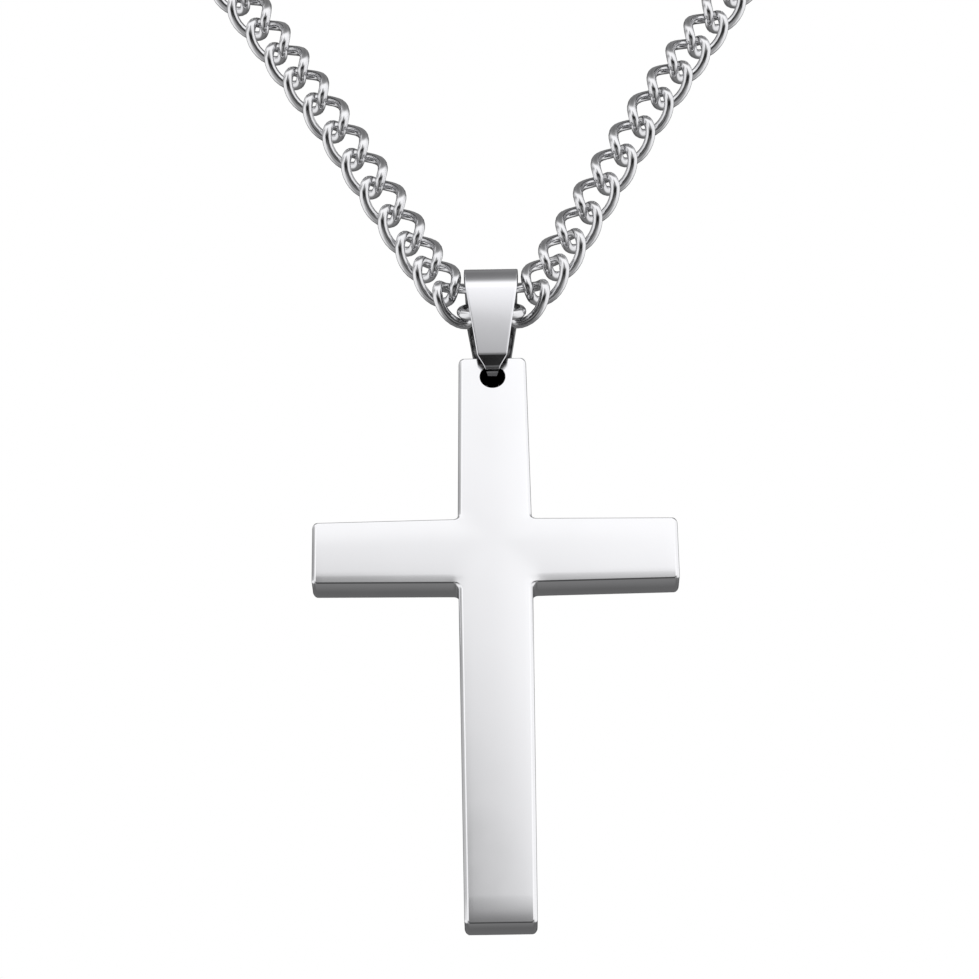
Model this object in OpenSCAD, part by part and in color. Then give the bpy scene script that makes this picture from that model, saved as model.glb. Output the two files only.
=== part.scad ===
// Cross pendant on a folded strap bail, hung on a twisted curb chain with a clasp.
// The frame: X to the wearer's left, -Y to the front, +Z up, origin at the nape of the neck.

/* [Cross] */
// Height of the cross
cross_h = 50; // [44:1:60]
// Width across the arms
cross_w = 29.6; // [24:0.2:34]
// Thickness of the plate
cross_t = 2.75; // [2:0.05:3]
// Width of the upright at its top end
upright_top_w = 5.6; // [5:0.1:7]
// Width of the upright where the arms cross it
upright_mid_w = 6.0; // [5:0.1:7.5]
// Width of the upright at its foot
upright_foot_w = 5.6; // [4.5:0.1:7]
// Height of an arm where it meets the upright
arm_root_h = 5.8; // [4.5:0.05:7]
// How much lower an arm is at its end than at its root
arm_taper = 0.3; // [0.1:0.05:0.6]
// Middle of the arms below the top
arm_drop = 18; // [14:0.5:22]
// Slanted edge round both faces
edge_bevel = 0.2; // [0.15:0.05:0.5]
// Radius of the four inner corners
inner_corner_r = 0.45; // [0.3:0.05:0.8]
// Radius of the outer corners
outer_corner_r = 0.4; // [0.35:0.05:0.6]
// Diameter of the hanging hole
hole_d = 2.1; // [2:0.05:2.4]
// Middle of the hole below the top
hole_drop = 1.8; // [1.7:0.05:2.1]

/* [Bail] */
// Thickness of the strap
strap_t = 0.4; // [0.3:0.02:0.45]
// Inner radius of the fold
fold_r = 2.65; // [2.6:0.05:3.2]
// Middle of the fold above the middle of the hole
fold_rise = 7.75; // [7:0.05:10]
// Width of the strap at the top of the fold
strap_top_w = 4.6; // [4:0.1:4.8]
// Width of the strap where the fold ends
strap_fold_w = 4.3; // [3.6:0.1:4.6]
// Width of the strap at the crease above the cross
crease_w = 2.5; // [1.8:0.1:3]
// Width of a prong where it turns into the hole
turn_w = 1.2; // [1:0.05:1.3]
// Width of a prong at its tip
tip_w = 0.8; // [0.6:0.05:1]
// Crease above the middle of the hole
crease_rise = 1.6; // [1.4:0.05:2]
// Gap between a leaf's crease and the cross's face
crease_gap = 0.68; // [0.5:0.02:0.9]
// Gap between a prong's turn and the cross's face
turn_gap = 0.28; // [0.2:0.02:0.45]
// Length of a prong's tip inside the hole
tip_reach = 0.58; // [0.4:0.02:0.9]

/* [Chain] */
// Length of one link's share of the strand
link_pitch = 3.35; // [3.25:0.05:3.6]
// Thickness of the wire
wire_d = 0.8; // [0.7:0.02:0.8]
// Width of a link over its wire
link_w = 3.9; // [3.8:0.05:4.1]
// Angle that a link's end is twisted out of the strand's flat
link_twist = 62; // [58:1:64]
// Clearance where two links hook
hook_gap = 0.22; // [0.2:0.01:0.26]
// Distance between the hooking places of the centre link in the bail
centre_pitch = 3.6; // [3.5:0.05:3.8]
// Lean of the centre link out of the vertical
centre_lean = 44; // [38:1:50]

/* [Clasp] */
// Diameter of the wire of the two end rings
ring_wire_d = 0.9; // [0.8:0.05:1]
// Outer diameter of the end rings
ring_d = 4.7; // [4.4:0.1:5.2]
// Lean of the end rings out of the vertical
ring_lean = 55; // [45:1:60]
// Length of the clasp
clasp_l = 11; // [10.4:0.2:14]
// Width of the clasp's hook end
clasp_w = 5.8; // [5.6:0.1:7]
// Width of the clasp's tail
clasp_tail_w = 4.5; // [4.4:0.1:5]
// Thickness of the clasp
clasp_t = 1.2; // [0.9:0.1:1.3]
// Width of the metal round the clasp's openings
clasp_rim = 0.9; // [0.7:0.05:1]

/* [Hidden] */

// Places down the front: the lowest joints of the two strands, then the bail and the hole under them.
front_y = -112;
strand_low_z = -139.75;
fold_over_chain = 0.6;
fold_z = strand_low_z + fold_over_chain;
hole_z = fold_z - fold_rise;

// The strand's route on the wearer's right, from the bail to the nape; the ends join on below.
strand_route = [
    [-4.9, -112, -135.95],
    [-12, -112, -122.95],
    [-18, -112, -112.95],
    [-33, -108, -87],
    [-51, -88, -49],
    [-60, -57, -19],
    [-52, -23, -3],
    [-30, -4, 0]
];

// Link proportions: centre-line half sizes, and how far the ends are squared off.
link_half_w = (link_w - wire_d) / 2;
end_squareness = 0.05;
link_sections = 10;
wire_sides = 5;
// The strands pull off the centre link at an angle, so each of its ends is longer by this.
centre_bend_room = 0.2;
// The neck's middle line behind the front strands, from which the strands face outward.
neck_middle_y = -55;
// The lowest links of a strand sit closer together, slack where they bend into the centre link.
low_slack = 0.45;
low_links = 3;

// The clasp and its rings fill the gap between the strands' last joints.
ring_r = (ring_d - ring_wire_d) / 2;
ring_from_joint = (ring_wire_d + hook_gap) / 2;
eye_play = 0.7;
rim_from_ring = (ring_wire_d + clasp_rim) / 2 + eye_play;
closure_span = 4 * ring_r - 2 * ring_from_joint - 2 * rim_from_ring + clasp_l - clasp_rim;
ring_x = closure_span / 2 + ring_from_joint - ring_r;
clasp_end_x = clasp_l / 2;

// A prong leaves its crease for the hole this far down.
turn_below_crease = 1;

arc_steps = 5;
fold_steps = 8;
spline_steps = 40;
hole_facets = 64;
skin = 0.01;

// Vectors
function unit(v) = v / norm(v);
function across(v, n) = unit(v - n * (v * n));
function last(list) = list[len(list) - 1];
function turned(p, angle) = [p[0] * cos(angle) - p[1] * sin(angle), p[0] * sin(angle) + p[1] * cos(angle)];
function flipped(list) = [for (i = [len(list) - 1:-1:0]) list[i]];

// A smooth curve through the route's points
function spline_point(a, b, c, d, t) =
    (2 * b + (c - a) * t + (2 * a - 5 * b + 4 * c - d) * t * t + (3 * b - a - 3 * c + d) * t * t * t) / 2;
function spline(p) =
    let (n = len(p), q = concat([2 * p[0] - p[1]], p, [2 * p[n - 1] - p[n - 2]]))
    concat(
        [for (i = [0:n - 2], k = [0:spline_steps - 1])
            spline_point(q[i], q[i + 1], q[i + 2], q[i + 3], k / spline_steps)],
        [p[n - 1]]
    );
function run_lengths(p) =
    [for (i = 0, s = 0; i < len(p); i = i + 1, s = i < len(p) ? s + norm(p[i] - p[i - 1]) : s) s];
function place_at(p, runs, s) =
    [for (axis = [0:2]) lookup(s, [for (i = [0:len(p) - 1]) [runs[i], p[i][axis]]])];

// The joints of one strand, one pitch apart, from the centre link to the nape
strand_curve = spline(concat(
    [[-centre_pitch / 2, front_y, strand_low_z]],
    strand_route,
    [[-closure_span / 2, 0, 0]]
));
strand_runs = run_lengths(strand_curve);
strand_full = last(strand_runs) + low_links * low_slack;
strand_links = round(strand_full / link_pitch);
strand_pitch = strand_full / strand_links;
strand_joints = [for (i = [0:strand_links])
    place_at(strand_curve, strand_runs, i * strand_pitch - low_slack * min(i, low_links))];

// The strand lies flat on the body: its outward side faces away from the neck's middle line.
function outward(p) = unit([p[0], p[1] - neck_middle_y, 0]);

// One link: a wire oval whose two ends are twisted opposite ways about its long axis
function link_half_l(pitch) = (pitch + wire_d + hook_gap) / 2;
function link_point(half_l, twist, t) =
    let (
        along = (1 + end_squareness) * cos(t) - end_squareness * cos(3 * t),
        out = link_half_w * sin(t),
        lean = twist * cos(t)
    )
    [half_l * along, out * cos(lean), out * sin(lean)];
function link_wire(half_l, twist) =
    let (step = 360 / link_sections)
    [for (k = [0:link_sections - 1])
        let (
            c = link_point(half_l, twist, k * step),
            ahead = link_point(half_l, twist, k * step + 1),
            behind = link_point(half_l, twist, k * step - 1),
            run = unit(ahead - behind),
            out = across(c, run),
            up = cross(run, out)
        )
        for (j = [0:wire_sides - 1])
            c + wire_d / 2 * (cos(j * 360 / wire_sides) * out + sin(j * 360 / wire_sides) * up)
    ];
function ring_faces(first) =
    let (n = link_sections, m = wire_sides)
    [for (k = [0:n - 1], j = [0:m - 1], half = [0:1])
        let (
            a = first + k * m + j,
            b = first + k * m + (j + 1) % m,
            c = first + ((k + 1) % n) * m + j,
            d = first + ((k + 1) % n) * m + (j + 1) % m
        )
        half == 0 ? [a, d, b] : [a, c, d]
    ];

// A link's points carried to their place between two joints
function carried(points, from, to, facing) =
    let (
        x = unit(to - from),
        z = across(facing, x),
        y = cross(z, x),
        mid = (from + to) / 2
    )
    [for (p = points) mid + p[0] * x + p[1] * y + p[2] * z];

module links(list) {
    count = link_sections * wire_sides;
    polyhedron(
        points = [for (link = list, p = link) p],
        faces = [for (i = [0:len(list) - 1], f = ring_faces(i * count)) f],
        convexity = 10
    );
}

function strand() =
    let (wire = link_wire(link_half_l(strand_pitch), link_twist))
    [for (i = [0:strand_links - 1])
        let (from = strand_joints[i], to = strand_joints[i + 1])
        carried(wire, from, to, outward((from + to) / 2))
    ];

// The centre link is flat and longer: the bail hangs on it, and both strands hook into it.
function centre_link() =
    let (
        half = centre_pitch / 2,
        from = [-half, front_y, strand_low_z],
        to = [half, front_y, strand_low_z],
        facing = [0, -cos(centre_lean), sin(centre_lean)]
    )
    carried(link_wire(link_half_l(centre_pitch) + centre_bend_room, 0), from, to, facing);

module chain_left() {
    color("silver") links(concat(strand(), [centre_link()]));
}

module chain_right() {
    color("silver") mirror([1, 0, 0]) links(strand());
}

// Corner rounding: an arc from one side's direction to the next, about the corner's own middle
function corner_arc(corner, before, after, r) =
    let (
        u = unit(before - corner),
        v = unit(after - corner),
        half = acos(u * v) / 2,
        middle = corner + unit(u + v) * r / sin(half),
        start = corner + u * r / tan(half) - middle,
        sweep = (180 - 2 * half) * (u[0] * v[1] - u[1] * v[0] < 0 ? 1 : -1)
    )
    [for (k = [0:arc_steps]) middle + turned(start, sweep * k / arc_steps)];

// The cross's outline, anticlockwise from its foot, drawn in by an inset on every side
function cross_outline(inset) =
    let (
        top = cross_h / 2 - inset,
        foot = -cross_h / 2 + inset,
        side = cross_w / 2 - inset,
        arm_z = cross_h / 2 - arm_drop,
        top_x = upright_top_w / 2 - inset,
        mid_x = upright_mid_w / 2 - inset,
        foot_x = upright_foot_w / 2 - inset,
        root = arm_root_h / 2 - inset,
        end = (arm_root_h - arm_taper) / 2 - inset,
        right = [
            [foot_x, foot], [mid_x, arm_z - root], [side, arm_z - end],
            [side, arm_z + end], [mid_x, arm_z + root], [top_x, top]
        ],
        left = [for (p = flipped(right)) [-p[0], p[1]]],
        corners = concat(right, left),
        n = len(corners)
    )
    [for (i = [0:n - 1])
        let (
            inner = i % 3 == 1,
            r = inner ? inner_corner_r + inset : outer_corner_r - inset
        )
        each corner_arc(corners[i], corners[(i + n - 1) % n], corners[(i + 1) % n], r)
    ];

// A solid of equal outlines stacked along -Y, given as [y, outline] pairs from back to front.
// Each outline is the same on both sides, so its faces are closed by strips from side to side.
module stacked(layers) {
    n = len(layers[0][1]);
    points = [for (layer = layers, p = layer[1]) [p[0], layer[0], p[1]]];
    sides = [for (s = [0:len(layers) - 2], i = [0:n - 1])
        [s * n + i, (s + 1) * n + i, (s + 1) * n + (i + 1) % n, s * n + (i + 1) % n]];
    strips = [for (i = [0:n / 2 - 2]) [i, i + 1, n - 2 - i, n - 1 - i]];
    front = [for (f = strips) [for (i = flipped(f)) (len(layers) - 1) * n + i]];
    polyhedron(points = points, faces = concat(sides, strips, front), convexity = 6);
}

module cross() {
    half = cross_t / 2;
    color("gainsboro") translate([0, front_y, hole_z + hole_drop - cross_h / 2])
        difference() {
            stacked([
                [half, cross_outline(edge_bevel)],
                [half - edge_bevel, cross_outline(0)],
                [edge_bevel - half, cross_outline(0)],
                [-half, cross_outline(edge_bevel)]
            ]);
            translate([0, 0, cross_h / 2 - hole_drop]) rotate([90, 0, 0])
                cylinder(d = hole_d, h = cross_t + 2 * skin, center = true, $fn = hole_facets);
        }
}

// The strap's middle line on the front side, as [forward, up, width], from the top of the fold
strap_fold_r = fold_r + strap_t / 2;
crease = [cross_t / 2 + crease_gap + strap_t / 2, crease_rise - fold_rise];
turn = [cross_t / 2 + turn_gap + strap_t / 2, crease[1] - turn_below_crease];
fold_under = atan2(-crease[1], crease[0]) - acos(strap_fold_r / norm(crease));
function fold_stop(share) =
    let (angle = 90 - share * (90 + fold_under))
    [strap_fold_r * cos(angle), strap_fold_r * sin(angle), strap_top_w + (strap_fold_w - strap_top_w) * share];
strap_half = concat(
    [for (k = [0:fold_steps]) fold_stop(k / fold_steps)],
    [
        [crease[0], crease[1], crease_w],
        [turn[0], turn[1], turn_w],
        [cross_t / 2 - tip_reach, turn[1], tip_w]
    ]
);
strap_line = concat(
    flipped([for (k = [1:len(strap_half) - 1]) [-strap_half[k][0], strap_half[k][1], strap_half[k][2]]]),
    strap_half
);

// One edge of the strap's thickness, mitred at each bend: side is 1 outside and -1 inside
function strap_edge(side) =
    let (n = len(strap_line), flat = [for (p = strap_line) [p[0], p[1]]])
    [for (i = [0:n - 1])
        let (
            before = unit(flat[max(i, 1)] - flat[max(i, 1) - 1]),
            after = unit(flat[min(i, n - 2) + 1] - flat[min(i, n - 2)]),
            out = turned(before, 90) + turned(after, 90)
        )
        flat[i] + side * strap_t * out / (out * out)
    ];

module bail() {
    n = len(strap_line);
    outer = strap_edge(1);
    inner = strap_edge(-1);
    points = [for (i = [0:n - 1])
        let (half = strap_line[i][2] / 2)
        each [
            [-half, -outer[i][0], outer[i][1]],
            [half, -outer[i][0], outer[i][1]],
            [half, -inner[i][0], inner[i][1]],
            [-half, -inner[i][0], inner[i][1]]
        ]
    ];
    walls = [for (i = [0:n - 2], j = [0:3])
        [4 * i + j, 4 * i + (j + 1) % 4, 4 * (i + 1) + (j + 1) % 4, 4 * (i + 1) + j]];
    ends = [[3, 2, 1, 0], [for (j = [0:3]) 4 * (n - 1) + j]];
    color("silver") translate([0, front_y, fold_z])
        polyhedron(points = points, faces = concat(walls, ends), convexity = 6);
}

// The clasp is one plain closed hook: an eye in its tail and a wide opening at its hook end.
module clasp() {
    tail_r = clasp_tail_w / 2;
    hook_r = clasp_w / 2;
    opening_r = hook_r - clasp_rim;
    eye_r = tail_r - clasp_rim;
    tail_x = tail_r - clasp_end_x;
    hook_x = clasp_end_x - hook_r;
    wedge_x = tail_x + eye_r + clasp_rim + opening_r / 2;
    color("silver") rotate([90, 0, 0]) translate([0, 0, -clasp_t / 2])
        difference() {
            union() {
                translate([tail_x, 0, 0]) cylinder(r = tail_r, h = clasp_t, $fn = 48);
                translate([hook_x, 0, 0]) cylinder(r = hook_r, h = clasp_t, $fn = 48);
                linear_extrude(clasp_t)
                    polygon([[tail_x, -tail_r], [hook_x, -hook_r], [hook_x, hook_r], [tail_x, tail_r]]);
            }
            translate([tail_x, 0, -skin]) cylinder(r = eye_r, h = clasp_t + 2 * skin, $fn = 48);
            translate([hook_x, 0, -skin]) cylinder(r = opening_r, h = clasp_t + 2 * skin, $fn = 48);
            translate([wedge_x, 0, -skin]) cylinder(r = opening_r / 2, h = clasp_t + 2 * skin, $fn = 48);
        }
}

// An end ring holds the strand's last link to the clasp and leans across both.
module end_ring(x) {
    color("silver") translate([x, 0, 0]) rotate([-ring_lean, 0, 0]) rotate([90, 0, 0])
        rotate_extrude($fn = 48) translate([ring_r, 0]) circle(d = ring_wire_d, $fn = 24);
}

module ring_left() {
    end_ring(-ring_x);
}

module ring_right() {
    end_ring(ring_x);
}

cross();
bail();
chain_left();
chain_right();
clasp();
ring_left();
ring_right();
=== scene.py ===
"""Looks of the cross pendant on its curb chain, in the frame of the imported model.

Lengths in this file are millimetres unless a name or comment says otherwise; MM turns them into metres.
The sizes repeat those of part.scad, because every visible piece but the clasp is drawn here again, more
finely than the solid that it stands for.
"""

import math

import bpy
from mathutils import Matrix, Vector, geometry


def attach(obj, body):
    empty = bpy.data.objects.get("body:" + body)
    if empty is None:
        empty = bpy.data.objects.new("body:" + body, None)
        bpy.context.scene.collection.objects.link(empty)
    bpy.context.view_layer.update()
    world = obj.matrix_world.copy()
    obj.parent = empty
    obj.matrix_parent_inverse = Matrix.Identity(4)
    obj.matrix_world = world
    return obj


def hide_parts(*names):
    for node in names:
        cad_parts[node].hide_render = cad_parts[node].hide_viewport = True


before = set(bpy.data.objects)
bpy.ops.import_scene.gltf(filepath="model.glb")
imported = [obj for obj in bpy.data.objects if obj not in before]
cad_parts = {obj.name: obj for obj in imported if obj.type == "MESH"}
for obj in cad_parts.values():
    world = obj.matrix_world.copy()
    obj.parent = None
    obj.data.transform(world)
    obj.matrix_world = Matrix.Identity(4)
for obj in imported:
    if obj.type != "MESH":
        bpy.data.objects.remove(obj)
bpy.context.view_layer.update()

MM = 0.001

# ---------------------------------------------------------------- sizes that follow the CAD source
CROSS = dict(h=50.0, w=29.6, t=2.75, top_w=5.6, mid_w=6.0, foot_w=5.6, root_h=5.8, taper=0.3,
             drop=18.0, inner_r=0.45, outer_r=0.4, hole_d=2.1, hole_drop=1.8)
STRAP = dict(t=0.4, r=2.65, rise=7.75, top_w=4.6, fold_w=4.3, crease_w=2.5, turn_w=1.2, tip_w=0.8,
             crease_rise=1.6, crease_gap=0.68, turn_gap=0.28, reach=0.58, drop=1.0)
LINK = dict(pitch=3.35, wire=0.8, width=3.9, twist=62.0, gap=0.22, square=0.05,
            centre_pitch=3.6, centre_lean=44.0, bend_room=0.2, neck_y=-55.0, low_slack=0.45, low_links=3)
RING = dict(wire=0.9, d=4.7, lean=55.0)
CLASP = dict(length=11.0, rim=0.9, play=0.7)
FOLD_OVER_CHAIN = 0.6

# Places: the plane of the cross, the chain's lowest point, the fold's axis, the hole and the cross's middle.
FRONT_Y = -112.0
LOW_Z = -139.75
FOLD_Z = LOW_Z + FOLD_OVER_CHAIN
HOLE_Z = FOLD_Z - STRAP["rise"]
CROSS_Z = HOLE_Z + CROSS["hole_drop"] - CROSS["h"] / 2

# The left strand's chosen way round the neck, from the centre link to the clasp.
STRAND_ROUTE = [
    (-4.9, -112, -135.95),
    (-12, -112, -122.95),
    (-18, -112, -112.95),
    (-33, -108, -87),
    (-51, -88, -49),
    (-60, -57, -19),
    (-52, -23, -3),
    (-30, -4, 0),
]

# The clasp with its two rings: from the last joint of one strand to that of the other.
RING_R = (RING["d"] - RING["wire"]) / 2
RING_FROM_JOINT = (RING["wire"] + LINK["gap"]) / 2
RIM_FROM_RING = (RING["wire"] + CLASP["rim"]) / 2 + CLASP["play"]
CLOSURE = 4 * RING_R - 2 * RING_FROM_JOINT - 2 * RIM_FROM_RING + CLASP["length"] - CLASP["rim"]
RING_X = CLOSURE / 2 + RING_FROM_JOINT - RING_R


# ---------------------------------------------------------------- small helpers
def mesh_object(name, points, faces, smooth=True):
    mesh = bpy.data.meshes.new(name)
    mesh.from_pydata([tuple(c * MM for c in p) for p in points], [], faces)
    mesh.validate()
    mesh.polygons.foreach_set("use_smooth", [smooth] * len(mesh.polygons))
    mesh.update()
    obj = bpy.data.objects.new(name, mesh)
    bpy.context.scene.collection.objects.link(obj)
    return obj


def dress(obj, material, body, node):
    """Gives a piece its material and body, and hides the CAD node that it stands for."""
    obj.data.materials.clear()
    obj.data.materials.append(material)
    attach(obj, body)
    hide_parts(node)


def smooth_step(low, high, x):
    t = min(1.0, max(0.0, (x - low) / (high - low)))
    return t * t * (3 - 2 * t)


def quarter_turns(steps):
    return [math.pi / 2 * k / steps for k in range(steps + 1)]


# ---------------------------------------------------------------- materials
PATCH_SCALE = 0.22              # per millimetre, of the noise behind the uneven gloss and the smudges
PATCH_RANGE = (0.3, 0.7)        # the noise's values that give the least and the most of each
SMUDGE = 0.02                   # the share by which a smudge lightens or darkens the steel
GRAIN_DEPTH = 0.02              # of the polishing lines' bump

# A Map Range node's sockets for vectors have the same names as those for numbers, so they go by place.
VECTOR, FROM_MIN, FROM_MAX, TO_MIN, TO_MAX = range(6, 11)
VECTOR_OUT = 1


def noise(nodes, links, vector, scale, detail):
    node = nodes.new("ShaderNodeTexNoise")
    node.inputs["Scale"].default_value = scale
    node.inputs["Detail"].default_value = detail
    links.new(vector, node.inputs["Vector"])
    return node.outputs["Fac"]


def steel(name, color, rough, rough_spread, grain_scale, grain_bump, stretch=(1, 1, 1), shade_inside=None):
    """Polished steel: a faint grain along the polishing, uneven gloss and soft smudges.

    A dark colour given for painted shade goes on the faces that the mesh marks as its inner face: the strap's
    inside, between its leaves and the cross, where shade falls.
    """
    mat = bpy.data.materials.new(name)
    mat.use_nodes = True
    nodes, links = mat.node_tree.nodes, mat.node_tree.links
    nodes.clear()
    out = nodes.new("ShaderNodeOutputMaterial")
    shader = nodes.new("ShaderNodeBsdfPrincipled")
    links.new(shader.outputs["BSDF"], out.inputs["Surface"])
    shader.inputs["Metallic"].default_value = 1.0

    coords = nodes.new("ShaderNodeTexCoord")
    mapping = nodes.new("ShaderNodeMapping")
    mapping.inputs["Scale"].default_value = tuple(s / MM for s in stretch)
    links.new(coords.outputs["Object"], mapping.inputs["Vector"])
    grain = noise(nodes, links, mapping.outputs["Vector"], grain_scale, detail=6.0)
    patches = noise(nodes, links, coords.outputs["Object"], PATCH_SCALE / MM, detail=3.0)

    gloss = nodes.new("ShaderNodeMapRange")
    gloss.inputs["From Min"].default_value, gloss.inputs["From Max"].default_value = PATCH_RANGE
    gloss.inputs["To Min"].default_value = rough - rough_spread
    gloss.inputs["To Max"].default_value = rough + rough_spread
    links.new(patches, gloss.inputs["Value"])
    links.new(gloss.outputs["Result"], shader.inputs["Roughness"])

    tint = nodes.new("ShaderNodeMapRange")
    tint.data_type = "FLOAT_VECTOR"
    tint.inputs[FROM_MIN].default_value = (PATCH_RANGE[0],) * 3
    tint.inputs[FROM_MAX].default_value = (PATCH_RANGE[1],) * 3
    tint.inputs[TO_MIN].default_value = tuple(c * (1 - SMUDGE) for c in color)
    tint.inputs[TO_MAX].default_value = tuple(min(1.0, c * (1 + SMUDGE)) for c in color)
    spread = nodes.new("ShaderNodeCombineXYZ")
    for axis in "XYZ":
        links.new(patches, spread.inputs[axis])
    links.new(spread.outputs["Vector"], tint.inputs[VECTOR])
    base = tint.outputs[VECTOR_OUT]
    # Painted shade: the marked inner faces take a dark colour in place of the steel's own.
    if shade_inside is not None:
        mark = nodes.new("ShaderNodeAttribute")
        mark.attribute_name = "shaded_inner_face"
        shaded = nodes.new("ShaderNodeMix")
        shaded.data_type = "RGBA"
        shaded.inputs["B"].default_value = (shade_inside, shade_inside, shade_inside, 1)
        links.new(mark.outputs["Fac"], shaded.inputs["Factor"])
        links.new(base, shaded.inputs["A"])
        base = shaded.outputs["Result"]
    links.new(base, shader.inputs["Base Color"])

    bump = nodes.new("ShaderNodeBump")
    bump.inputs["Strength"].default_value = grain_bump
    bump.inputs["Distance"].default_value = GRAIN_DEPTH * MM
    links.new(grain, bump.inputs["Height"])
    links.new(bump.outputs["Normal"], shader.inputs["Normal"])
    return mat


cross_steel = steel("polished_cross_steel", (0.80, 0.80, 0.81), rough=0.13, rough_spread=0.03,
                    grain_scale=3.0, grain_bump=0.03, stretch=(6, 6, 0.5))
# Painted shade: the strap's inner face, in shade between its leaves and the cross, is coloured a dark 0.22.
bail_steel = steel("brushed_strap_steel", (0.84, 0.84, 0.86), rough=0.15, rough_spread=0.03,
                   grain_scale=4.0, grain_bump=0.05, stretch=(6, 6, 0.6), shade_inside=0.22)
chain_steel = steel("polished_wire_steel", (0.76, 0.76, 0.77), rough=0.14, rough_spread=0.03,
                    grain_scale=2.0, grain_bump=0.05)
clasp_steel = steel("polished_clasp_steel", (0.76, 0.76, 0.77), rough=0.18, rough_spread=0.03,
                    grain_scale=2.0, grain_bump=0.05)


# ---------------------------------------------------------------- chain
VISIBLE_WIRE = 0.86             # of round wire, which reads as thick as the solids' prism with five sides


def spline(points, steps=40):
    """A smooth curve through all the points, with its ends run on straight."""
    p = [Vector(q) for q in points]
    q = [2 * p[0] - p[1]] + p + [2 * p[-1] - p[-2]]
    out = []
    for i in range(len(p) - 1):
        a, b, c, d = q[i:i + 4]
        for k in range(steps):
            t = k / steps
            out.append((2 * b + (c - a) * t + (2 * a - 5 * b + 4 * c - d) * t * t
                        + (3 * b - a - 3 * c + d) * t ** 3) / 2)
    return out + [p[-1]]


def strand_joints():
    """Where one link of the left strand hands over to the next; the lowest links sit closer, slack."""
    slack, slack_links = LINK["low_slack"], LINK["low_links"]
    curve = spline([(-LINK["centre_pitch"] / 2, FRONT_Y, LOW_Z)] + STRAND_ROUTE + [(-CLOSURE / 2, 0, 0)])
    runs = [0.0]
    for a, b in zip(curve, curve[1:]):
        runs.append(runs[-1] + (b - a).length)
    full = runs[-1] + slack_links * slack
    count = math.floor(full / LINK["pitch"] + 0.5)
    pitch = full / count
    joints, k = [], 0
    for i in range(count + 1):
        s = min(i * pitch - slack * min(i, slack_links), runs[-1])
        while k < len(runs) - 2 and runs[k + 1] < s:
            k += 1
        joints.append(curve[k].lerp(curve[k + 1], (s - runs[k]) / (runs[k + 1] - runs[k])))
    return joints, pitch


def wire_loop(half_l, twist, sections=40, sides=14):
    """Points of one link about its own middle: X along the strand, Z out of its flat."""
    half_w = (LINK["width"] - LINK["wire"]) / 2
    beside = 0.01               # the turn to each side at which the wire's direction is read

    def at(t):
        lean = math.radians(twist) * math.cos(t)
        out = half_w * math.sin(t)
        along = (1 + LINK["square"]) * math.cos(t) - LINK["square"] * math.cos(3 * t)
        return Vector((half_l * along, out * math.cos(lean), out * math.sin(lean)))

    points = []
    for k in range(sections):
        t = 2 * math.pi * k / sections
        c = at(t)
        run = (at(t + beside) - at(t - beside)).normalized()
        out = (c - run * c.dot(run)).normalized()
        up = run.cross(out)
        for j in range(sides):
            a = 2 * math.pi * j / sides
            points.append(c + (out * math.cos(a) + up * math.sin(a)) * VISIBLE_WIRE / 2)
    faces = []
    for k in range(sections):
        for j in range(sides):
            a, b = k * sides + j, k * sides + (j + 1) % sides
            c, d = (k + 1) % sections * sides + j, (k + 1) % sections * sides + (j + 1) % sides
            faces.append((a, b, d, c))
    return points, faces


def carried(points, start, end, facing):
    """A link's points, moved so that it spans two joints with its flat toward facing."""
    x = (end - start).normalized()
    z = (facing - x * facing.dot(x)).normalized()
    y = z.cross(x)
    mid = (start + end) / 2
    return [mid + p.x * x + p.y * y + p.z * z for p in points]


def half_length(pitch):
    return (pitch + LINK["wire"] + LINK["gap"]) / 2


def joined_links(name, links, faces, flip):
    points, all_faces = [], []
    for link in links:
        first = len(points)
        points += link
        all_faces += [tuple(first + i for i in (reversed(f) if flip else f)) for f in faces]
    return mesh_object(name, points, all_faces)


def build_chain():
    joints, pitch = strand_joints()
    loop, faces = wire_loop(half_length(pitch), LINK["twist"])
    strand = []
    for start, end in zip(joints, joints[1:]):
        mid = (start + end) / 2
        away_from_neck = Vector((mid.x, mid.y - LINK["neck_y"], 0)).normalized()
        strand.append(carried(loop, start, end, away_from_neck))
    flat, _ = wire_loop(half_length(LINK["centre_pitch"]) + LINK["bend_room"], 0)
    half, lean = LINK["centre_pitch"] / 2, math.radians(LINK["centre_lean"])
    centre = carried(flat, Vector((-half, FRONT_Y, LOW_Z)), Vector((half, FRONT_Y, LOW_Z)),
                     Vector((0, -math.cos(lean), math.sin(lean))))
    mirrored = [[Vector((-p.x, p.y, p.z)) for p in link] for link in strand]
    left = joined_links("strand_left", strand + [centre], faces, flip=False)
    right = joined_links("strand_right", mirrored, faces, flip=True)
    dress(left, chain_steel, "chain", "chain_left")
    dress(right, chain_steel, "chain", "chain_right")


# ---------------------------------------------------------------- cross
# Places on the plate are (x, z) about its middle, with z up.
ARM_Z = CROSS["h"] / 2 - CROSS["drop"]
HOLE_UP = CROSS["h"] / 2 - CROSS["hole_drop"]
HOLE_SIDES = 64
SHARPEST = 0.02                 # the least radius that an outer corner keeps where the outline is drawn in

# Polishing leans the face back toward each edge: the slope at the edge and how far in it starts.
ROLL = dict(side=((0.03, 3.0), (0.04, 0.7)), foot=((0.134, 2.2),), arm_low=((0.024, 5.0), (0.115, 0.8)),
            arm_up=((0.035, 2.2),), top=((0.03, 1.0),), end=((0.03, 0.9),))
ROLL_DEPTH = 0.4                # the mesh has this share of that depth; its normals show the whole
ROLL_FADE = dict(depth=0.6, reach=2.4)   # lets each bar's lean give way where the other bar goes on

# The soft rims: their width along the upright sides, along level edges and round the hole.
RIM = dict(side=0.38, level=0.10, hole=0.05, steps=6, hole_steps=4)
BARREL = math.radians(8)        # how far a level wall's normals lean toward the face at its rim

FACE_GRID = dict(step=0.35, from_rim=0.2, from_hole=0.25)


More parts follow.
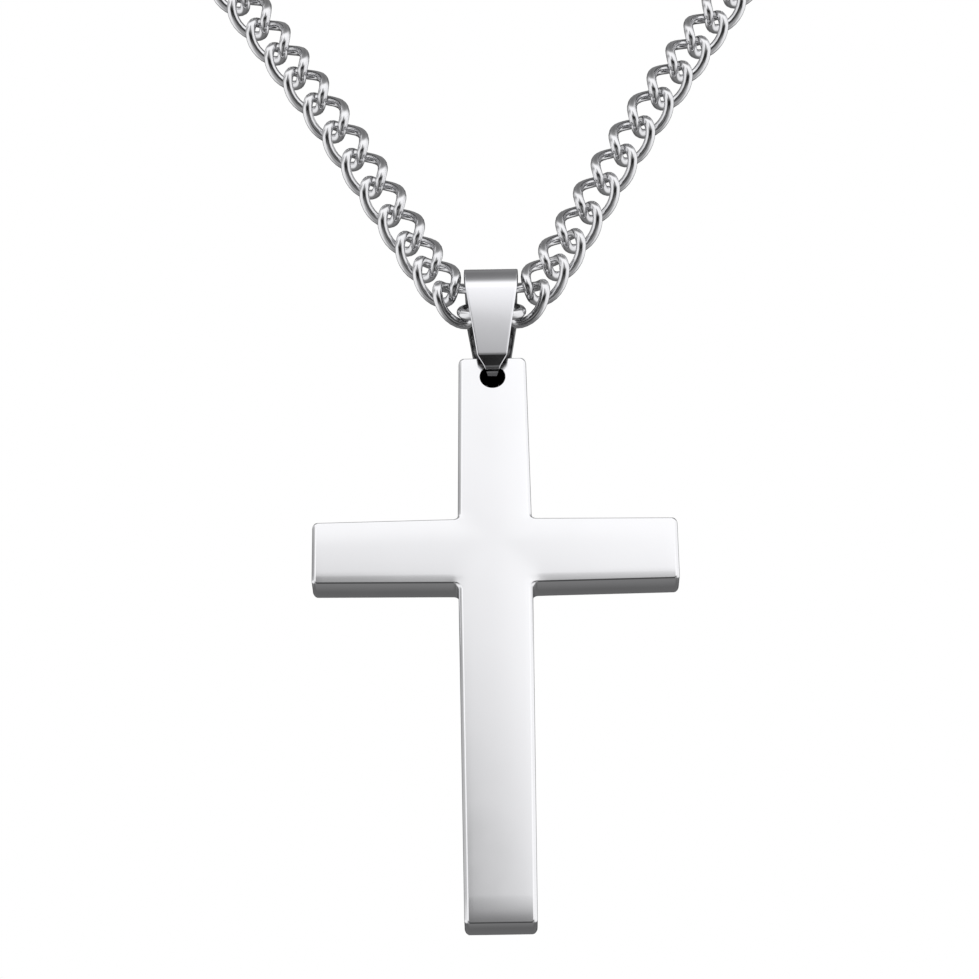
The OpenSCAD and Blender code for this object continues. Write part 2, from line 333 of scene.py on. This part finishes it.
def upright_half(z):
    taper = (CROSS["mid_w"] - CROSS["foot_w"]) / 2
    return CROSS["mid_w"] / 2 - taper * min(1.0, abs(z - ARM_Z) / (CROSS["h"] / 2))


def arms_half(x):
    return (CROSS["root_h"] - CROSS["taper"] * min(1.0, abs(x) / (CROSS["w"] / 2))) / 2


def corner_arc(corner, before, after, r, steps):
    u, v = (before - corner).normalized(), (after - corner).normalized()
    half = math.acos(max(-1.0, min(1.0, u.dot(v)))) / 2
    middle = corner + (u + v).normalized() * r / math.sin(half)
    start = corner + u * r / math.tan(half) - middle
    turn = u.x * v.y - u.y * v.x
    sweep = (math.pi - 2 * half) * (1 if turn < 0 else -1)
    out = []
    for k in range(steps + 1):
        a = sweep * k / steps
        out.append(middle + Vector((start.x * math.cos(a) - start.y * math.sin(a),
                                    start.x * math.sin(a) + start.y * math.cos(a))))
    return out


def cross_outline(inset_x, inset_z, arc_steps=8, spacing=0.5):
    """The outline drawn in sideways and up or down, with the same count of points at every inset."""
    c = CROSS
    side, root, end = c["w"] / 2, c["root_h"] / 2, (c["root_h"] - c["taper"]) / 2
    right = [(c["foot_w"] / 2, -c["h"] / 2), (c["mid_w"] / 2, ARM_Z - root), (side, ARM_Z - end),
             (side, ARM_Z + end), (c["mid_w"] / 2, ARM_Z + root), (c["top_w"] / 2, c["h"] / 2)]
    full = right + [(-x, z) for x, z in reversed(right)]
    n = len(full)
    runs = [(Vector(full[i]) - Vector(full[(i + 1) % n])).length for i in range(n)]
    counts = [max(1, round(run / spacing)) for run in runs]
    drawn = [Vector((x - math.copysign(inset_x, x), z - math.copysign(inset_z, z - ARM_Z))) for x, z in full]
    arcs, inset = [], (inset_x + inset_z) / 2
    for i in range(n):
        is_inner = i % 3 == 1   # the second of every three corners is one between upright and arm
        r = c["inner_r"] + inset if is_inner else max(c["outer_r"] - inset, SHARPEST)
        arcs.append(corner_arc(drawn[i], drawn[i - 1], drawn[(i + 1) % n], r, arc_steps))
    outline = []
    for i in range(n):
        outline += arcs[i]
        a, b = arcs[i][-1], arcs[(i + 1) % n][0]
        outline += [a.lerp(b, k / counts[i]) for k in range(1, counts[i])]
    return outline


def edge_roll(distance, edge):
    """The face's depth at a distance from one edge, with a slope that grows evenly toward it."""
    return sum(slope * reach / 2 * (1 - min(max(distance, 0.0), reach) / reach) ** 2
               for slope, reach in ROLL[edge])


def face_roll(x, z):
    """The polished face's depth behind the flat plate: that of the bar that it belongs to, blended."""
    half_h, half_w = CROSS["h"] / 2, CROSS["w"] / 2
    half_x, half_z, up = upright_half(z), arms_half(x), z - ARM_Z
    upright = (edge_roll(half_x - x, "side") + edge_roll(half_x + x, "side")
               + edge_roll(half_h - z, "top") + edge_roll(half_h + z, "foot"))
    arms = (edge_roll(half_z + up, "arm_low") + edge_roll(half_z - up, "arm_up")
            + edge_roll(half_w - abs(x), "end"))
    upright += ROLL_FADE["depth"] * smooth_step(0.0, ROLL_FADE["reach"], abs(x) - half_x)
    arms += ROLL_FADE["depth"] * smooth_step(0.0, ROLL_FADE["reach"], abs(up) - half_z)
    above_zero = 1e-6
    return upright * arms / math.hypot(upright, arms, above_zero)


def roll_normal(x, z, beside=0.02):
    gx = (face_roll(x + beside, z) - face_roll(x - beside, z)) / (2 * beside)
    gz = (face_roll(x, z + beside) - face_roll(x, z - beside)) / (2 * beside)
    return Vector((gx, -1, gz)).normalized()


class Plate:
    """The points, normals and faces of the cross, gathered for its front and then for its back."""

    def __init__(self):
        self.points, self.normals, self.faces = [], [], []

    def point(self, x, z, depth, normal, back):
        side = 1 if back else -1
        y = side * (CROSS["t"] / 2 - ROLL_DEPTH * face_roll(x, z) - depth)
        self.points.append(Vector((x, y, z)))
        self.normals.append(Vector((normal.x, -side * normal.y, normal.z)).normalized())
        return len(self.points) - 1

    def bridge(self, a_ids, b_ids, flip):
        n = len(a_ids)
        for i in range(n):
            j = (i + 1) % n
            quad = (a_ids[i], a_ids[j], b_ids[j], b_ids[i])
            self.faces.append(tuple(reversed(quad)) if flip else quad)

    def rim_ring(self, outline, a, back):
        """One ring of the rim, with its normals turned by a from the wall to the face."""
        n = len(outline)
        ids = []
        for i, p in enumerate(outline):
            along = (outline[(i + 1) % n] - outline[i - 1]).normalized()
            wall = Vector((along.y, 0, -along.x))
            level = along.x * along.x
            depth = (RIM["side"] + (RIM["level"] - RIM["side"]) * level) * (1 - math.sin(a))
            lean = BARREL * level
            turned = lean + a * (1 - lean / (math.pi / 2))
            normal = roll_normal(p.x, p.y) * math.sin(turned) + wall * math.cos(turned)
            ids.append(self.point(p.x, p.y, depth, normal, back))
        return ids

    def hole_ring(self, radius, depth, a, back):
        """One ring of the hole's rim, with its normals turned by a from the face into the hole."""
        ids = []
        for w, (x, z) in hole_circle(radius):
            inward = Vector((-math.cos(w), 0, -math.sin(w)))
            normal = roll_normal(x, z) * math.cos(a) + inward * math.sin(a)
            ids.append(self.point(x, z, depth, normal, back))
        return ids


def hole_circle(radius):
    """A circle round the hole's middle, as pairs of an angle and a place."""
    angles = [2 * math.pi * i / HOLE_SIDES for i in range(HOLE_SIDES)]
    return [(w, (radius * math.cos(w), HOLE_UP + radius * math.sin(w))) for w in angles]


def on_open_face(p, hole_r):
    """Whether a grid point lies inside the rims and clear of the hole."""
    across, up = RIM["side"] + FACE_GRID["from_rim"], RIM["level"] + FACE_GRID["from_rim"]
    half_h, half_w = CROSS["h"] / 2, CROSS["w"] / 2
    in_upright = abs(p.x) < upright_half(p.y) - across and abs(p.y) < half_h - up
    in_arms = abs(p.x) < half_w - across and abs(p.y - ARM_Z) < arms_half(half_w) - up
    clear_of_hole = (p - Vector((0, HOLE_UP))).length > hole_r + FACE_GRID["from_hole"]
    return (in_upright or in_arms) and clear_of_hole


def is_inside(p, outline):
    inside = False
    for a, b in zip(outline, outline[1:] + outline[:1]):
        if (a.y > p.y) != (b.y > p.y) and p.x < (b.x - a.x) * (p.y - a.y) / (b.y - a.y) + a.x:
            inside = not inside
    return inside


def face_triangles(outline, hole_r):
    """The face between its outline and the hole, cut into triangles over an even grid.

    Returns the points, the triangles, and under which number each given point is among the points.
    """
    step, n = FACE_GRID["step"], len(outline)
    hole_edge = [Vector(place) for _, place in hole_circle(hole_r)]
    grid = [Vector((-CROSS["w"] / 2 + (i + 0.5) * step, -CROSS["h"] / 2 + (j + 0.5) * step))
            for i in range(int(CROSS["w"] / step) + 1) for j in range(int(CROSS["h"] / step) + 1)]
    given = outline + hole_edge + [p for p in grid if on_open_face(p, hole_r)]
    edges = ([(i, (i + 1) % n) for i in range(n)]
             + [(n + i, n + (i + 1) % HOLE_SIDES) for i in range(HOLE_SIDES)])
    all_faces, merge_within = 0, 1e-6
    points, _, triangles, sources = geometry.delaunay_2d_cdt(given, edges, [], all_faces, merge_within)[:4]
    nearest = hole_r * math.cos(math.pi / HOLE_SIDES) - 1e-4    # to the hole's middle, for a kept triangle
    keep = []
    for triangle in triangles:
        mid = sum((points[i] for i in triangle), Vector((0, 0))) / len(triangle)
        if is_inside(mid, outline) and (mid - Vector((0, HOLE_UP))).length >= nearest:
            keep.append(triangle)
    number_of = {s: i for i, given_ids in enumerate(sources) for s in given_ids}
    return points, keep, number_of


def build_cross():
    turns, hole_turns = quarter_turns(RIM["steps"]), quarter_turns(RIM["hole_steps"])
    outlines = [cross_outline(RIM["side"] * (1 - math.cos(a)), RIM["level"] * (1 - math.cos(a)))
                for a in turns]
    hole_rings = [(CROSS["hole_d"] / 2 + RIM["hole"] * (1 - math.sin(a)), RIM["hole"] * (1 - math.cos(a)))
                  for a in hole_turns]
    flat_points, triangles, number_of = face_triangles(outlines[-1], hole_rings[0][0])
    n = len(outlines[0])

    plate = Plate()
    walls, bores = [], []
    for back in (False, True):
        rim = [plate.rim_ring(outline, a, back) for outline, a in zip(outlines, turns)]
        for a_ids, b_ids in zip(rim, rim[1:]):
            plate.bridge(a_ids, b_ids, back)
        hole = [plate.hole_ring(radius, depth, a, back) for (radius, depth), a in zip(hole_rings, hole_turns)]
        for a_ids, b_ids in zip(hole, hole[1:]):
            plate.bridge(a_ids, b_ids, back)
        shared = {number_of[i]: rim[-1][i] for i in range(n)}
        shared.update({number_of[n + i]: hole[0][i] for i in range(HOLE_SIDES)})
        for i, p in enumerate(flat_points):
            if i not in shared:
                shared[i] = plate.point(p.x, p.y, 0.0, roll_normal(p.x, p.y), back)
        for triangle in triangles:
            ids = tuple(shared[i] for i in triangle)
            a, b, d = (flat_points[i] for i in triangle[:3])
            ccw = (b - a).x * (d - a).y - (b - a).y * (d - a).x > 0
            plate.faces.append(ids if ccw != back else tuple(reversed(ids)))
        walls.append(rim[0])
        bores.append(hole[-1])
    plate.bridge(*walls, flip=True)
    plate.bridge(*bores, flip=True)

    place = Vector((0, FRONT_Y, CROSS_Z))
    used = sorted({i for f in plate.faces for i in f})
    new_id = {old: k for k, old in enumerate(used)}
    obj = mesh_object("polished_cross", [plate.points[i] + place for i in used],
                      [tuple(new_id[i] for i in f) for f in plate.faces])
    obj.data.normals_split_custom_set_from_vertices([tuple(plate.normals[i]) for i in used])
    dress(obj, cross_steel, "cross", "cross")


# ---------------------------------------------------------------- bail
LEAF = dict(bow=0.0875, top_lean=2.3, steps=20)    # the leaf's bow, and its lean in degrees at the fold
FOLD_STEPS = 36
BEND_RADII = (0.12, 0.22)       # of the crease and of the turn into the hole

# A bend takes at most a share of the straight pieces beside it, and lead keeps the rest of them flat in the
# shading. An edge's flat does the same for the face next to it.
BEND = dict(most=0.4, lead=0.06, steps=5)
STRAP_EDGE = dict(r=0.06, flat=0.12, steps=3)


def strap_path():
    """The strap's middle line on the front side, as (forward, up, width), from the fold's top to a prong."""
    s, half = STRAP, CROSS["t"] / 2
    radius = s["r"] + s["t"] / 2
    crease = (half + s["crease_gap"] + s["t"] / 2, s["crease_rise"] - s["rise"])
    turn = (half + s["turn_gap"] + s["t"] / 2, crease[1] - s["drop"])
    under = math.radians(LEAF["top_lean"])
    path = []
    for k in range(FOLD_STEPS + 1):
        share = k / FOLD_STEPS
        a = math.pi / 2 - share * (math.pi / 2 + under)
        width = s["top_w"] + (s["fold_w"] - s["top_w"]) * share
        path.append((radius * math.cos(a), radius * math.sin(a), width))
    last = path[-1]
    for k in range(1, LEAF["steps"] + 1):
        t = k / LEAF["steps"]
        bow = 4 * LEAF["bow"] * t * (1 - t)
        path.append((last[0] + (crease[0] - last[0]) * t + bow, last[1] + (crease[1] - last[1]) * t,
                     last[2] + (s["crease_w"] - last[2]) * t))
    path.append((turn[0], turn[1], s["turn_w"]))
    path.append((half - s["reach"], turn[1], s["tip_w"]))
    return path


def rounded_bends(path, radii):
    """Rounds the path's last inner points, one for each radius, and keeps what lies between them flat."""
    first = len(path) - 1 - len(radii)
    out = list(path[:first])
    for i, radius in enumerate(radii, first):
        p, q, r = (Vector(path[k]) for k in (i - 1, i, i + 1))
        a, b = (p - q), (r - q)
        cut = min(radius, BEND["most"] * a.length, BEND["most"] * b.length)
        start, end = q + a.normalized() * cut, q + b.normalized() * cut
        out.append(tuple(start + a.normalized() * BEND["lead"]))
        for k in range(BEND["steps"] + 1):
            t = k / BEND["steps"]
            out.append(tuple(start.lerp(q, t).lerp(q.lerp(end, t), t)))
        out.append(tuple(end + b.normalized() * BEND["lead"]))
    out.append(path[-1])
    return out


def strap_section(forward, up, width, out):
    """A section of the strap with soft edges, and for each point 1 on the inner face and 0 elsewhere."""
    edge = STRAP_EDGE["r"]
    corner = [(math.cos(a), math.sin(a), 0.0) for a in quarter_turns(STRAP_EDGE["steps"])]
    corner.append((0.0, 1.0, STRAP_EDGE["flat"]))
    points, inner = [], []
    for sx, so in ((1, 1), (-1, 1), (-1, -1), (1, -1)):
        for cx, co, inward in (corner if sx * so > 0 else corner[::-1]):
            x = sx * (width / 2 - edge + edge * cx - inward)
            o = so * (STRAP["t"] / 2 - edge + edge * co)
            points.append(Vector((x, -(forward + out.x * o), up + out.y * o)))
            inner.append(1.0 if so < 0 else 0.0)
    return points, inner


def turn_faces_outward(obj):
    bpy.context.view_layer.objects.active = obj
    obj.select_set(True)
    bpy.ops.object.mode_set(mode="EDIT")
    bpy.ops.mesh.select_all(action="SELECT")
    bpy.ops.mesh.normals_make_consistent(inside=False)
    bpy.ops.object.mode_set(mode="OBJECT")
    obj.select_set(False)


def build_bail():
    half_line = rounded_bends(strap_path(), BEND_RADII)
    line = [(-f, u, w) for f, u, w in reversed(half_line[1:])] + half_line
    n = len(line)
    points, shaded_inner_face, rows = [], [], []
    for i, (forward, up, width) in enumerate(line):
        a, b = Vector(line[max(i - 1, 0)][:2]), Vector(line[min(i + 1, n - 1)][:2])
        run = (b - a).normalized()
        section, inner = strap_section(forward, up, width, Vector((-run.y, run.x)))
        rows.append([len(points) + k for k in range(len(section))])
        points += section
        shaded_inner_face += inner
    m = len(rows[0])
    faces = [(a[k], a[(k + 1) % m], b[(k + 1) % m], b[k]) for a, b in zip(rows, rows[1:]) for k in range(m)]
    tips = [tuple(reversed(rows[0])), tuple(rows[-1])]
    place = Vector((0, FRONT_Y, FOLD_Z))
    obj = mesh_object("strap_bail", [p + place for p in points], faces + tips)
    for k in range(len(tips)):
        obj.data.polygons[len(faces) + k].use_smooth = False
    turn_faces_outward(obj)
    # Marks the strap's inner face, where its material paints shade.
    mark = obj.data.attributes.new("shaded_inner_face", "FLOAT", "POINT")
    mark.data.foreach_set("value", shaded_inner_face)
    dress(obj, bail_steel, "bail", "bail")


# ---------------------------------------------------------------- clasp and its rings
CLASP_EDGE = dict(weld_within=0.001, bevel=0.22, segments=4, sharper_than=math.radians(40))


def torus(name, middle, radius, wire, turn, sections=72, sides=20):
    points, faces = [], []
    for k in range(sections):
        a = 2 * math.pi * k / sections
        for j in range(sides):
            b = 2 * math.pi * j / sides
            r = radius + wire / 2 * math.cos(b)
            points.append(middle + turn @ Vector((r * math.cos(a), wire / 2 * math.sin(b), r * math.sin(a))))
            faces.append((k * sides + j, (k + 1) % sections * sides + j,
                          (k + 1) % sections * sides + (j + 1) % sides, k * sides + (j + 1) % sides))
    return mesh_object(name, points, faces)


def build_closure():
    """The two end rings, and the CAD clasp with its own material and soft edges."""
    turn = Matrix.Rotation(math.radians(-RING["lean"]), 3, "X")
    for side, name in ((-1, "ring_left"), (1, "ring_right")):
        ring = torus("end_" + name, Vector((side * RING_X, 0, 0)), RING_R, RING["wire"], turn)
        dress(ring, clasp_steel, "chain", name)
    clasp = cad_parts["clasp"]
    clasp.data.materials.clear()
    clasp.data.materials.append(clasp_steel)
    weld = clasp.modifiers.new("weld", "WELD")
    weld.merge_threshold = CLASP_EDGE["weld_within"] * MM
    bevel = clasp.modifiers.new("edges", "BEVEL")
    bevel.width = CLASP_EDGE["bevel"] * MM
    bevel.segments = CLASP_EDGE["segments"]
    bevel.limit_method = "ANGLE"
    bevel.angle_limit = CLASP_EDGE["sharper_than"]
    bevel.harden_normals = True
    clasp.data.polygons.foreach_set("use_smooth", [True] * len(clasp.data.polygons))


build_chain()
build_cross()
build_bail()
build_closure()


# ---------------------------------------------------------------- stage
FLOOR = dict(half=4000, z=-900)


def build_floor():
    half, z = FLOOR["half"], FLOOR["z"]
    points = [(-half, -half, z), (half, -half, z), (half, half, z), (-half, half, z)]
    floor = mesh_object("floor", points, [(0, 1, 2, 3)], smooth=False)
    mat = bpy.data.materials.new("pale_floor")
    mat.use_nodes = True
    shader = mat.node_tree.nodes["Principled BSDF"]
    shader.inputs["Base Color"].default_value = (0.82, 0.82, 0.82, 1)
    shader.inputs["Roughness"].default_value = 0.8
    floor.data.materials.append(mat)
    floor.visible_glossy = False


def build_floor_light():
    """A broad lamp over the floor, in metres and watts; the steel doesn't mirror it."""
    where, aim = Vector((0, -0.6, 1.6)), Vector((0, 0, -0.9))
    data = bpy.data.lights.new("overhead_for_the_floor", "AREA")
    data.shape = "RECTANGLE"
    data.size, data.size_y = 2.0, 2.0
    data.energy = 30
    lamp = bpy.data.objects.new("overhead_for_the_floor", data)
    lamp.location = where
    lamp.rotation_mode = "QUATERNION"
    lamp.rotation_quaternion = (aim - where).to_track_quat("-Z", "Y")
    lamp.visible_camera = False
    lamp.visible_glossy = False
    bpy.context.scene.collection.objects.link(lamp)


# The walls of the studio that the steel mirrors, as pairs of a direction's upward part and its light.
# In the photo's view the cross's face mirrors the front from 0.36 to 0.50, where the softbox begins, and
# the bail's crease mirrors the dark strip under it.
FULL_LIGHT = 1.25
FRONT_LOW = [(-1.0, 0.06), (-0.78, 0.06), (-0.66, 0.15), (-0.42, 0.13), (-0.36, 0.008), (-0.165, 0.008),
             (-0.10, 0.15)]
SOFTBOX_TOP = [(0.72, 1.25), (0.79, 0.78), (0.85, 0.36)]
WALLS = dict(
    middle=FRONT_LOW + [(0.14, 0.24), (0.225, 0.50), (0.29, 0.57), (0.358, 0.65), (0.373, 0.72),
                        (0.39, 0.84), (0.408, 0.93), (0.4255, 1.01), (0.4427, 1.05), (0.46, 1.07),
                        (0.496, 1.16), (0.53, 1.22)] + SOFTBOX_TOP + [(0.95, 0.22), (1.0, 0.20)],
    near_left=FRONT_LOW + [(0.14, 0.20), (0.225, 0.33), (0.355, 0.38), (0.373, 0.51), (0.39, 0.65),
                           (0.408, 0.80), (0.4255, 0.915), (0.4427, 1.025), (0.46, 1.07),
                           (0.496, 1.20)] + SOFTBOX_TOP + [(1.0, 0.20)],
    near_right=FRONT_LOW + [(0.14, 0.30), (0.225, 0.60), (0.29, 0.75), (0.354, 0.86), (0.373, 1.0),
                            (0.39, 1.07), (0.408, 1.11), (0.4255, 1.19),
                            (0.4427, 1.25)] + SOFTBOX_TOP + [(1.0, 0.20)],
    far=[(-1.0, 0.40), (-0.60, 0.40), (-0.48, 0.06), (-0.15, 0.05), (-0.05, 0.15), (0.08, 0.85),
         (0.18, 1.15), (0.40, 1.25)] + SOFTBOX_TOP + [(1.0, 0.20)],
    back=[(-1.0, 0.08), (-0.78, 0.24), (-0.60, 0.21), (-0.40, 0.14), (-0.17, 0.15), (0.06, 0.15),
          (0.2, 0.07), (0.5, 0.10), (0.74, 0.13), (0.92, 0.26), (1.0, 0.20)],
    left=[(-1.0, 0.36), (-0.75, 0.45), (-0.5, 1.0), (0.1, 1.1), (0.25, 0.9), (0.36, 0.6), (0.41, 0.5),
          (0.44, 0.36), (0.475, 0.42), (0.5, 0.5), (0.56, 0.75), (0.7, 0.95), (0.85, 0.5), (1.0, 0.20)],
    right=[(-1.0, 0.36), (-0.75, 0.45), (-0.5, 1.0), (0.1, 1.1), (0.6, 1.15), (0.9, 0.3), (1.0, 0.2)],
)
COOL = 1.01                     # the blue share of the light, over its red and green

# Between which sideways parts of a direction, or forward parts for the back, one wall fades into the next.
FADES = dict(near_left=(-0.01, -0.08), near_right=(0.0, 0.06), far=(0.16, 0.34), back=(-0.25, 0.25),
             sides=(0.45, 0.85))


def build_world():
    """The studio that the steel mirrors: a softbox high in front, light sides, a dim room behind.

    The camera itself sees plain white behind the object.
    """
    world = bpy.data.worlds.new("studio")
    bpy.context.scene.world = world
    world.use_nodes = True
    nodes, links = world.node_tree.nodes, world.node_tree.links
    nodes.clear()
    out = nodes.new("ShaderNodeOutputWorld")
    coords = nodes.new("ShaderNodeTexCoord")
    axes = nodes.new("ShaderNodeSeparateXYZ")
    links.new(coords.outputs["Generated"], axes.inputs["Vector"])
    x, y, z = (axes.outputs[k] for k in "XYZ")

    def share(value, low, high, kind="SMOOTHSTEP"):
        node = nodes.new("ShaderNodeMapRange")
        node.interpolation_type = kind
        node.inputs["From Min"].default_value = low
        node.inputs["From Max"].default_value = high
        links.new(value, node.inputs["Value"])
        return node.outputs["Result"]

    height = share(z, -1.0, 1.0, "LINEAR")

    def wall(profile):
        ramp = nodes.new("ShaderNodeValToRGB")
        elements = ramp.color_ramp.elements
        for _ in profile[2:]:
            elements.new(0.5)
        for element, (up, light) in zip(elements, profile):
            element.position = (up + 1) / 2
            element.color = (light / FULL_LIGHT, light / FULL_LIGHT, light / FULL_LIGHT * COOL, 1)
        links.new(height, ramp.inputs["Fac"])
        return ramp.outputs["Color"]

    def blended(factor, a, b):
        mix = nodes.new("ShaderNodeMix")
        mix.data_type = "RGBA"
        links.new(factor, mix.inputs["Factor"])
        links.new(a, mix.inputs["A"])
        links.new(b, mix.inputs["B"])
        return mix.outputs["Result"]

    walls = {name: wall(profile) for name, profile in WALLS.items()}
    tone = blended(share(x, *FADES["near_left"]), walls["middle"], walls["near_left"])
    tone = blended(share(x, *FADES["near_right"]), tone, walls["near_right"])
    for side in (-1, 1):
        tone = blended(share(x, *(side * v for v in FADES["far"])), tone, walls["far"])
    tone = blended(share(y, *FADES["back"]), tone, walls["back"])
    for side, name in ((-1, "left"), (1, "right")):
        tone = blended(share(x, *(side * v for v in FADES["sides"])), tone, walls[name])

    studio = nodes.new("ShaderNodeBackground")
    studio.inputs["Strength"].default_value = FULL_LIGHT
    links.new(tone, studio.inputs["Color"])
    plain = nodes.new("ShaderNodeBackground")
    plain.inputs["Color"].default_value = (1, 1, 1, 1)
    path = nodes.new("ShaderNodeLightPath")
    mix = nodes.new("ShaderNodeMixShader")
    links.new(path.outputs["Is Camera Ray"], mix.inputs["Fac"])
    links.new(studio.outputs["Background"], mix.inputs[1])
    links.new(plain.outputs["Background"], mix.inputs[2])
    links.new(mix.outputs["Shader"], out.inputs["Surface"])


# The photo's camera: it looks up at the cross's middle, which the photo shows at CROSS_PX.
PHOTO_PX = 979
FOCAL_PX = 3125.0
CROSS_PX = (496.56, 635.46)
CAMERA = dict(tilt=26.0, distance=250.0, roll=0.9, sensor=36.0)
CLIP_M = (0.01, 20)


def build_camera():
    tilt = math.radians(CAMERA["tilt"])
    look = Vector((0, math.cos(tilt), math.sin(tilt)))
    where = Vector((0, FRONT_Y, CROSS_Z)) - look * CAMERA["distance"]
    data = bpy.data.cameras.new("camera")
    data.sensor_width = CAMERA["sensor"]
    data.lens = FOCAL_PX / PHOTO_PX * CAMERA["sensor"]
    data.shift_x = -(CROSS_PX[0] - PHOTO_PX / 2) / PHOTO_PX
    data.shift_y = (CROSS_PX[1] - PHOTO_PX / 2) / PHOTO_PX
    data.clip_start, data.clip_end = CLIP_M
    cam = bpy.data.objects.new("camera", data)
    bpy.context.scene.collection.objects.link(cam)
    cam.rotation_mode = "QUATERNION"
    roll = Matrix.Rotation(math.radians(CAMERA["roll"]), 3, look)
    cam.location = where * MM
    cam.rotation_quaternion = roll.to_quaternion() @ look.to_track_quat("-Z", "Y")
    bpy.context.scene.camera = cam


build_floor()
build_world()
build_floor_light()
build_camera()
bpy.context.scene.view_settings.view_transform = "Standard"
